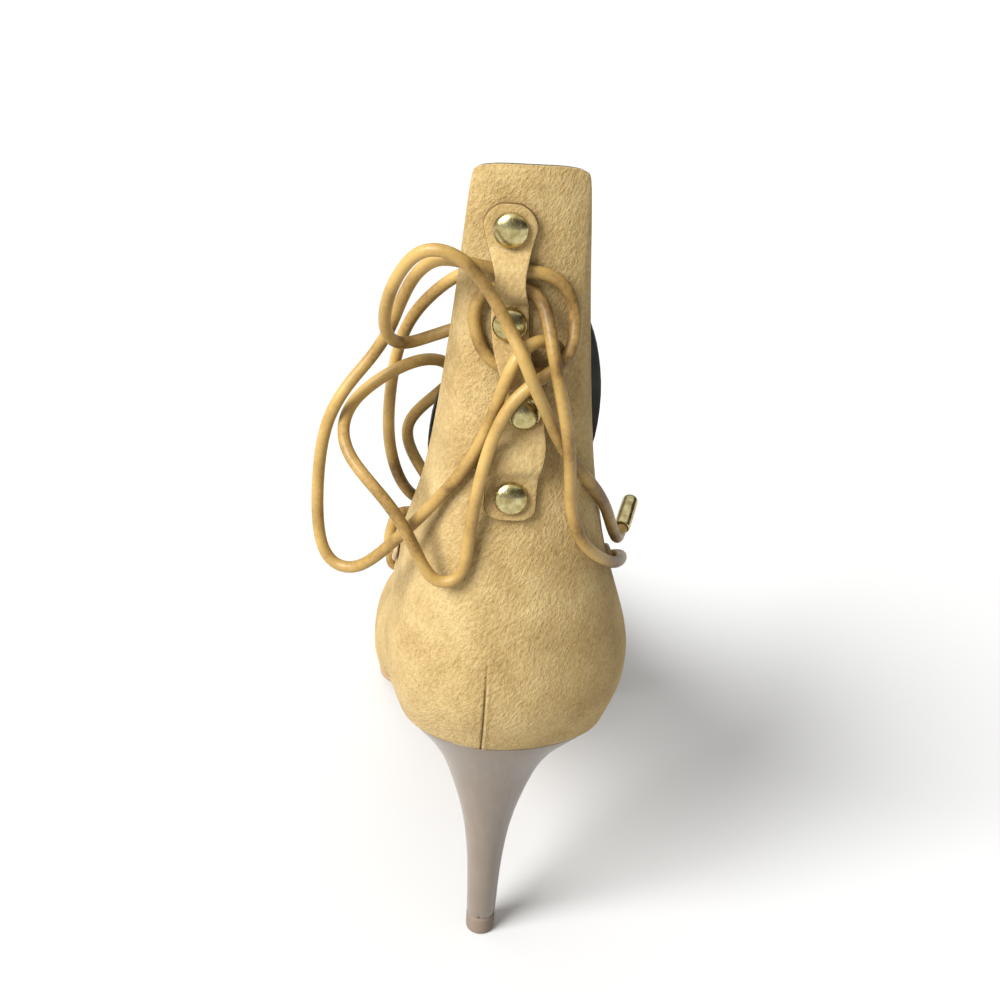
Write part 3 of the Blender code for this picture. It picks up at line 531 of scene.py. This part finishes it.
def outer_sheet():
    """The outer face of the upper as an open sheet with its eyelet holes."""
    bm = node_copy("upper")
    start = min(bm.faces, key=lambda face: face.calc_center_median().y)
    kept = {start}
    edge_of_work = [start]
    while edge_of_work:
        face = edge_of_work.pop()
        for edge in face.edges:
            for other in edge.link_faces:
                if other not in kept and edge.calc_face_angle(math.pi) < FACE_TURN:
                    kept.add(other)
                    edge_of_work.append(other)
    bmesh.ops.delete(bm, geom=[face for face in bm.faces if face not in kept], context="FACES")
    return bm


def fine_sheet():
    """The upper's outer face, subdivided, with its toe smoothed and its creases and dart pressed in."""
    rough = bpy.data.meshes.new("upper_rough")
    sheet = outer_sheet()
    sheet.to_mesh(rough)
    sheet.free()
    helper = bpy.data.objects.new("upper_rough", rough)
    bpy.context.scene.collection.objects.link(helper)
    smoothed(helper, levels=2)
    bm = bmesh.new()
    bm.from_mesh(helper.evaluated_get(bpy.context.evaluated_depsgraph_get()).to_mesh())
    bpy.data.objects.remove(helper)
    bpy.data.meshes.remove(rough)
    toe = [vert for vert in bm.verts if vert.co.y > TOE_START * MM and not vert.is_boundary]
    for _ in range(TOE_PASSES):
        bmesh.ops.smooth_vert(bm, verts=toe, factor=0.5, use_axis_x=True, use_axis_y=True, use_axis_z=True)
    for cut in DART.cuts:
        near = [face for face in bm.faces if in_dart(face.calc_center_median())]
        if not near:
            raise RuntimeError("the upper has no face where its dart runs")
        around = {part for face in near for part in (*face.verts, *face.edges)}
        bmesh.ops.bisect_plane(bm, geom=near + list(around), dist=MERGE,
                               plane_co=((DART.x + cut) * MM, 0.0, 0.0), plane_no=(1.0, 0.0, 0.0))
    bm.normal_update()
    moves = [vert.normal * pressed(vert.co / MM) * MM for vert in bm.verts]
    for vert, move in zip(bm.verts, moves):
        vert.co += move
    bm.normal_update()
    return bm


def in_dart(spot):
    """Whether a point of the upper in metres lies near its dart."""
    near = abs(spot.x / MM - DART.x) < DART_REACH and DART.low < spot.z / MM < DART.top + DART_REACH
    return near and spot.y < DART_FRONT * MM


def pressed(spot):
    """How far the suede stands out at a point in millimetres."""
    depth = 0.0
    for crease in CREASES:
        off = spot - Vector((crease.x, crease.y, crease.z))
        reach = (off.x / crease.half_x) ** 2 + (off.y / crease.half_y) ** 2 + (off.z / crease.half_z) ** 2
        depth += crease.depth * math.exp(-CREASE_FALL * reach)
    if in_dart(spot * MM):
        side = spot.x - DART.x
        fade = min(1.0, max(0.0, (DART.top - spot.z) / (DART.top - DART.fade)))
        groove = max(0.0, 1.0 - abs(side) / DART.half)
        lip = max(0.0, 1.0 - abs(side - DART.lip) / DART.lip)
        depth += fade * (lip * DART.lip_rise - groove * DART.depth)
    return depth


def rolled_edge(bm, roll):
    """Extends the lining past the tab's edge in a strip that rolls outwards, fullest at its middle."""
    edges = [edge for edge in bm.edges if edge.is_boundary
             and all(roll.side * vert.co.x > TAB_EDGE * MM and roll.low < vert.co.z / MM < roll.high
                     for vert in edge.verts)]
    if not edges:
        raise RuntimeError(f"the lining has no edge for its {roll.name} roll")
    ways = {}
    for vert in {vert for edge in edges for vert in edge.verts}:
        inner = [edge.other_vert(vert).co for edge in vert.link_edges if not edge.is_boundary]
        away = (vert.co - sum(inner, Vector()) / len(inner)).normalized()
        ways[vert] = away, vert.normal.copy()
    for turn in ROLL_TURNS:
        made = bmesh.ops.extrude_edge_only(bm, edges=edges)["geom"]
        fresh = {part for part in made if isinstance(part, bmesh.types.BMVert)}
        edges = [part for part in made
                 if isinstance(part, bmesh.types.BMEdge) and fresh.issuperset(part.verts)]
        for vert in fresh:
            others = (edge.other_vert(vert) for edge in vert.link_edges)
            old = next(other for other in others if other not in fresh)
            ways[vert] = ways[old]
            away, normal = ways[old]
            share = (vert.co.z / MM - roll.low) / (roll.high - roll.low)
            full = math.sin(math.pi * min(1.0, max(0.0, share))) ** ROLL_SWELL
            way = away * math.cos(math.radians(turn)) + normal * math.sin(math.radians(turn))
            vert.co = old.co + way * full * roll.reach * MM / len(ROLL_TURNS)
    bmesh.ops.remove_doubles(bm, verts=bm.verts, dist=MERGE)


def eyelet_seats():
    """Place and turn of each eyelet, square to the upper's outer face, in metres."""
    sheet = outer_sheet()
    tree = BVHTree.FromBMesh(sheet)
    seats = {}
    for side in ("inner", "outer"):
        for number in range(1, EYELETS + 1):
            low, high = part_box(f"eyelet_{side}_{number}")
            middle = 0.5 * (low + high)
            near = [face for face in sheet.faces
                    if (face.calc_center_median() - middle).length < SEAT_REACH * MM]
            normal = sum((face.normal * face.calc_area() for face in near), Vector()).normalized()
            spot = tree.find_nearest(middle)[0]
            spot = middle + normal * normal.dot(spot - middle)
            turn = normal.to_track_quat("Z", "Y").to_matrix().to_4x4()
            seats[side, number] = Matrix.Translation(spot) @ turn
    sheet.free()
    return seats


def lace_curve(name, points):
    """Round lace that follows points in metres closely, as one smooth curve (a cubic B-spline)."""
    curve = bpy.data.curves.new(name, "CURVE")
    curve.dimensions = "3D"
    curve.bevel_depth = 0.5 * bpy.context.scene.shoe_lace.diameter
    curve.bevel_resolution = 5
    curve.resolution_u = 6
    curve.use_fill_caps = True
    spline = curve.splines.new("BEZIER")
    spline.bezier_points.add(len(points) - 1)
    befores = [points[0], *points[:-1]]
    afters = [*points[1:], points[-1]]
    for knot, before, point, after in zip(spline.bezier_points, befores, points, afters):
        inside = before != point != after
        knot.co = (before + 4.0 * point + after) / 6.0 if inside else point
        knot.handle_left = (before + 2.0 * point) / 3.0
        knot.handle_right = (after + 2.0 * point) / 3.0
    curve.materials.append(material_named("tan_lace"))
    obj = bpy.data.objects.new(name, curve)
    bpy.context.scene.collection.objects.link(obj)
    return obj


def colour_property(name, description, default):
    return FloatVectorProperty(name=name, description=description, subtype="COLOR", size=3, min=0.0,
                               max=1.0, default=default)


def length_property(name, description, default, least, most):
    """A length that is given in millimetres and kept in metres."""
    return FloatProperty(name=name, description=description, default=default * MM, min=least * MM,
                         max=most * MM, subtype="DISTANCE", unit="LENGTH")


class ShoeColours(bpy.types.PropertyGroup):
    suede_dark: colour_property("Suede, dark", "Nap that lies away from the light", (0.285, 0.184, 0.068))
    suede_mid: colour_property("Suede, middle", "Main colour of the suede", (0.42, 0.293, 0.122))
    suede_light: colour_property("Suede, light", "Nap that faces the light", (0.55, 0.415, 0.2))
    # The strip's cut edge and back: fibrous leather, painted darker than its face partly as shade of the
    # gap under the strip.
    cut_shaded_dark: colour_property("Cut edge, dark", "Deep fibres of the strip's edge and back",
                              (0.09, 0.05, 0.018))
    cut_shaded_light: colour_property("Cut edge, light", "Main colour of the strip's edge and back",
                               (0.22, 0.135, 0.052))
    lining_dark: colour_property("Lining, dark", "Main colour of the lining", (0.006, 0.006, 0.006))
    lining_light: colour_property("Lining, light", "Rubbed places of the lining", (0.022, 0.021, 0.02))
    lacquer_dark: colour_property("Lacquer, dark", "Deep streaks of the heel", (0.168, 0.13, 0.096))
    lacquer_light: colour_property("Lacquer, light", "Main colour of the heel", (0.21, 0.165, 0.124))
    sole_dark: colour_property("Sole, dark", "Scuffed places of the sole", (0.26, 0.15, 0.07))
    sole_light: colour_property("Sole, light", "Main colour of the sole", (0.5, 0.32, 0.16))
    rubber_dark: colour_property("Top piece, dark", "Worn places of the top piece", (0.175, 0.13, 0.098))
    rubber_light: colour_property("Top piece, light", "Main colour of the top piece", (0.235, 0.18, 0.138))
    brass_dark: colour_property("Brass, dark", "Tarnished places of the metal", (0.36, 0.29, 0.11))
    brass_light: colour_property("Brass, light", "Main colour of the metal", (0.66, 0.57, 0.3))
    rim_dark: colour_property("Eyelet rim, dark", "Worn places of the rims", (0.3, 0.2, 0.11))
    rim_light: colour_property("Eyelet rim, light", "Main colour of the rims", (0.6, 0.45, 0.28))
    lace_dark: colour_property("Lace, dark", "Rubbed places of the lace", (0.13, 0.068, 0.018))
    lace_mid: colour_property("Lace, middle", "Main colour of the lace", (0.33, 0.203, 0.056))
    lace_light: colour_property("Lace, light", "Smooth places of the lace", (0.47, 0.302, 0.09))


class ShoeUpper(bpy.types.PropertyGroup):
    suede: length_property("Suede", "Thickness of the suede", 1.1, 0.6, 2.0)
    lining: length_property("Lining", "Thickness of the lining", 0.7, 0.3, 1.5)
    edge: length_property("Edge", "Rounding of the cut edges", 0.25, 0.05, 0.3)


class ShoeLace(bpy.types.PropertyGroup):
    diameter: length_property("Diameter", "Thickness of the round lace", 3.0, 1.5, 4.0)
    outer_length: length_property("Outer length", "Free lace from the outer top eyelet",
                                  600.0, 100.0, 1200.0)
    inner_length: length_property("Inner length", "Free lace from the inner top eyelet",
                                  302.0, 100.0, 1200.0)


class ShoeStage(bpy.types.PropertyGroup):
    camera_place: FloatVectorProperty(name="Camera", description="Where the camera stands",
                                      subtype="TRANSLATION", unit="LENGTH", size=3,
                                      default=(-0.0202, -0.3276, 0.325))
    camera_yaw: FloatProperty(name="Yaw", description="Turn of the view to the left", subtype="ANGLE",
                              unit="ROTATION", default=math.radians(4.5))
    camera_pitch: FloatProperty(name="Pitch", description="How far the view looks down", subtype="ANGLE",
                                unit="ROTATION", default=math.radians(29.1))
    camera_pan: FloatProperty(name="Pan", description="Turn in the picture's plane to centre the shoe",
                              subtype="ANGLE", unit="ROTATION", default=math.radians(6.7))
    lens: FloatProperty(name="Lens", description="Focal length on a 36 mm sensor", default=53.93, min=10.0)
    floor: colour_property("Floor", "Colour of the floor", (0.61, 0.61, 0.604))
    sky_left: FloatProperty(name="Sky, left", description="Light from all round on the inner side",
                            default=0.34, min=0.0)
    sky_right: FloatProperty(name="Sky, right", description="Light from all round on the outer side",
                             default=0.06, min=0.0)


class SHOE_OT_stage(bpy.types.Operator):
    """Camera, soft studio light and a plain pale floor"""
    bl_idname = "shoe.stage"
    bl_label = "Stage"

    def execute(self, context):
        scene = context.scene
        settings = scene.shoe_stage
        scene.view_settings.view_transform = "Standard"
        data = bpy.data.cameras.new("view")
        data.sensor_width = 36.0
        data.lens = settings.lens
        data.clip_start = 0.01
        data.clip_end = 50.0
        camera = bpy.data.objects.new("view", data)
        scene.collection.objects.link(camera)
        level = Matrix.Rotation(math.radians(90.0) - settings.camera_pitch, 4, "X")
        turn = Matrix.Rotation(settings.camera_yaw, 4, "Z") @ level
        pan = Matrix.Rotation(-settings.camera_pan, 4, "Y")
        camera.matrix_world = Matrix.Translation(settings.camera_place) @ turn @ pan
        scene.camera = camera
        world = bpy.data.worlds.new("studio")
        world.use_nodes = True
        sky = world.node_tree.nodes["Background"]
        sky.inputs["Color"].default_value = SKY_COLOUR
        across = Wire(world.node_tree).node("ShaderNodeTexCoord", outlet="Generated").axes()[0]
        strength = across.ease(*SKY_TURN, settings.sky_left, settings.sky_right)
        world.node_tree.links.new(strength.socket, sky.inputs["Strength"])
        scene.world = world
        for lamp in LAMPS:
            light = bpy.data.lights.new(lamp.name, "SUN")
            light.energy = lamp.strength
            light.angle = math.radians(lamp.width)
            sun = bpy.data.objects.new(lamp.name, light)
            sun.rotation_mode = "QUATERNION"
            sun.rotation_quaternion = Vector(lamp.way).to_track_quat("Z", "Y")
            scene.collection.objects.link(sun)
        bm = bmesh.new()
        bmesh.ops.create_grid(bm, x_segments=1, y_segments=1, size=FLOOR_HALF)
        mesh = bpy.data.meshes.new("floor")
        bm.to_mesh(mesh)
        bm.free()
        place, feed = new_finish("pale_floor", Roughness=0.9, Specular_IOR_Level=0.1)
        low = [FLOOR_SHADE * value for value in settings.floor]
        feed(Base_Color=place.noise(FLOOR_PATCH).blend(low, settings.floor))
        mesh.materials.append(bpy.data.materials["pale_floor"])
        floor = bpy.data.objects.new("floor", mesh)
        scene.collection.objects.link(floor)
        return {"FINISHED"}


class SHOE_OT_lace_ends(bpy.types.Operator):
    """The two free lengths of the lace, from the top eyelets to their metal tips"""
    bl_idname = "shoe.lace_ends"
    bl_label = "Free lace and tips"

    def execute(self, context):
        settings = context.scene.shoe_lace
        seats = eyelet_seats()
        ends = (("lace_outer", seats["outer", EYELETS], LACE_OUTER, settings.outer_length),
                ("lace_inner", seats["inner", EYELETS], LACE_INNER, settings.inner_length))
        for name, seat, route, length in ends:
            hole = seat @ (Vector((LACE_HOLE.toe, LACE_HOLE.up, LACE_HOLE.off)) * MM)
            points = [hole] + [Vector(point) * MM for point in route]
            cord = seated(lace_curve("free_" + name, points), "lace", name)
            run = (points[-1] - points[-2]).normalized()
            turn = run.to_track_quat("Z", "Y").to_matrix().to_4x4()
            tip = turned_body(TIP_OUTLINE, steps=28, matrix=Matrix.Translation(points[-1]) @ turn)
            tip = piece("tip_" + name, tip, "pale_brass", "brass", name.replace("lace", "aglet"))
        return {"FINISHED"}


class SHOE_OT_lace_front(bpy.types.Operator):
    """The lace over the throat, through every eyelet"""
    bl_idname = "shoe.lace_front"
    bl_label = "Front lacing"

    def execute(self, context):
        seats = eyelet_seats()

        def at(side, number, bends):
            """Places of some bends at one eyelet, in metres."""
            seat = seats[side, number]
            toe = 1.0 if side == "outer" else -1.0
            return [seat @ (Vector((toe * bend.toe, bend.up, bend.off)) * MM) for bend in bends]

        def run(stops, lift):
            """One half of the lace from eyelet to eyelet, raised by lift millimetres where it crosses."""
            points = at(*stops[0], [LACE_MOUTH, LACE_HOLE, *LACE_OVER])
            for stop in stops[1:]:
                last = stop[1] == EYELETS
                outside = stop == ("inner", EYELETS)
                over = [bend._replace(toe=-bend.toe) for bend in reversed(LACE_OVER)]
                here = at(*stop, [*(over if outside else LACE_BEHIND), LACE_HOLE])
                points.append(points[-1].lerp(here[0], 0.5) + Vector((0.0, 0.0, lift * MM)))
                points += here if last else here + at(*stop, LACE_OVER)
            return points

        over_run = run((("inner", 1), ("outer", 2), ("inner", 3), ("outer", EYELETS)), LACE_PASS)
        under_run = run((("outer", 1), ("inner", 2), ("outer", 3), ("inner", EYELETS)), -LACE_PASS)
        cord = lace_curve("lace_front", under_run[::-1] + over_run)
        seated(cord, "lace", "lace_bar", "lace_cross_1", "lace_cross_2", "lace_cross_3")
        return {"FINISHED"}


class SHOE_OT_upper(bpy.types.Operator):
    """Suede upper, one smooth hollow wall"""
    bl_idname = "shoe.upper"
    bl_label = "Upper"

    def execute(self, context):
        settings = context.scene.shoe_upper
        upper = piece("suede_upper", fine_sheet(), "tan_suede", "suede", "upper")
        walled(upper, settings.suede, settings.edge)
        return {"FINISHED"}


class SHOE_OT_lining(bpy.types.Operator):
    """Thin black lining inside the suede, with soft edges that roll out past the tab"""
    bl_idname = "shoe.lining"
    bl_label = "Lining"

    def execute(self, context):
        settings = context.scene.shoe_upper
        bm = fine_sheet()
        moves = [vert.normal * (settings.suede + LINING_GAP * MM) for vert in bm.verts]
        for vert, move in zip(bm.verts, moves):
            vert.co -= move
        bm.normal_update()
        for roll in ROLLS:
            rolled_edge(bm, roll)
        lining = piece("black_lining", bm, "black_lining", "lining")
        walled(lining, settings.lining, LINING_EDGE * settings.edge)
        return {"FINISHED"}


class SHOE_OT_strip(bpy.types.Operator):
    """Suede strip on the tab, standing off it in loops for the lace"""
    bl_idname = "shoe.strip"
    bl_label = "Back strip"

    def execute(self, context):
        bm = node_copy("back_strip")
        low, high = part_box("back_strip")
        end = STRIP_END * MM
        bends = set()
        for edge in bm.edges:
            one, two = (vert.co for vert in edge.verts)
            if abs((two - one).normalized().x) > ACROSS and low.z + end < one.z < high.z - end:
                bends.add(edge)
        hold_edges(bm, angle=50.0, crease=0.75, left_soft=bends)
        bm.normal_update()
        for face in bm.faces:
            # Faces that look across the strip or towards the tab get the darker cut finish, partly painted
            # shade of the gap under the strip.
            face.material_index = 0 if abs(face.normal.x) < ACROSS and face.normal.y < 0.0 else 1
        strip = piece("suede_strip", bm, "strip_suede", "suede", "back_strip")
        strip.data.materials.append(material_named("cut_leather_gap_shade"))
        smoothed(strip, levels=3)
        return {"FINISHED"}


class SHOE_OT_metal(bpy.types.Operator):
    """Domed rivets of the strip and rimmed eyelets of the facings"""
    bl_idname = "shoe.metal"
    bl_label = "Rivets and eyelets"

    def execute(self, context):
        sheet = outer_sheet()
        tree = BVHTree.FromBMesh(sheet)
        sheet.free()
        for number in range(1, RIVETS + 1):
            name = f"rivet_{number}"
            low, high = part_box(name)
            middle = 0.5 * (low + high)
            normal = tree.ray_cast(Vector((middle.x, BEHIND * MM, middle.z)), Vector((0.0, 1.0, 0.0)))[1]
            turn = normal.to_track_quat("Z", "Y").to_matrix().to_4x4()
            seat = Matrix.Translation(middle - normal * RIVET_SEAT * MM) @ turn
            rivet = turned_body(RIVET_OUTLINE, steps=40, matrix=seat)
            piece("brass_" + name, rivet, "pale_brass", "brass", name)
        for (side, number), seat in eyelet_seats().items():
            name = f"eyelet_{side}_{number}"
            rim = turned_body(EYELET_OUTLINE, steps=32, matrix=seat)
            piece("rim_" + name, rim, "eyelet_rim", "rim", name)
        return {"FINISHED"}


class SHOE_OT_bottom(bpy.types.Operator):
    """Insole, outsole, lacquered heel and its top piece"""
    bl_idname = "shoe.bottom"
    bl_label = "Soles and heel"

    def execute(self, context):
        for part in BOTTOM:
            bm = node_copy(part.node)
            hold_edges(bm, angle=HELD_ANGLE, crease=part.crease)
            for joint in JOINTS_CLOSED:
                if joint.node == part.node:
                    way = Vector(joint.way)
                    end = max(vert.co.dot(way) for vert in bm.verts) - joint.depth * MM
                    moved = [vert for vert in bm.verts if vert.co.dot(way) > end]
                    bmesh.ops.translate(bm, verts=moved, vec=Vector(joint.shift) * MM)
            smoothed(piece(part.name, bm, part.finish, part.slot, part.node), levels=2)
        return {"FINISHED"}


OPERATORS = (SHOE_OT_stage, SHOE_OT_lace_ends, SHOE_OT_lace_front, SHOE_OT_upper, SHOE_OT_lining,
             SHOE_OT_strip, SHOE_OT_metal, SHOE_OT_bottom)


class VIEW3D_PT_shoe(bpy.types.Panel):
    bl_idname = "VIEW3D_PT_shoe"
    bl_label = "Lace-up stiletto"
    bl_space_type = "VIEW_3D"
    bl_region_type = "UI"
    bl_category = "Shoe"

    def draw(self, context):
        for operator in OPERATORS:
            self.layout.operator(operator.bl_idname)
        for group in GROUPS:
            settings = getattr(context.scene, group)
            box = self.layout.box()
            for name in settings.bl_rna.properties.keys():
                if name not in ("rna_type", "name"):
                    box.prop(settings, name)


GROUPS = {
    "shoe_colours": ShoeColours,
    "shoe_upper": ShoeUpper,
    "shoe_lace": ShoeLace,
    "shoe_stage": ShoeStage,
}
CLASSES = (*GROUPS.values(), *OPERATORS, VIEW3D_PT_shoe)


def register():
    for cls in CLASSES:
        bpy.utils.register_class(cls)
    for name, group in GROUPS.items():
        setattr(bpy.types.Scene, name, PointerProperty(type=group))


def unregister():
    for name in GROUPS:
        delattr(bpy.types.Scene, name)
    for cls in reversed(CLASSES):
        bpy.utils.unregister_class(cls)


def main():
    register()
    bpy.ops.shoe.stage()
    bpy.ops.shoe.lace_ends()
    bpy.ops.shoe.lace_front()
    bpy.ops.shoe.upper()
    bpy.ops.shoe.lining()
    bpy.ops.shoe.strip()
    bpy.ops.shoe.metal()
    bpy.ops.shoe.bottom()


if __name__ == "__main__":
    main()
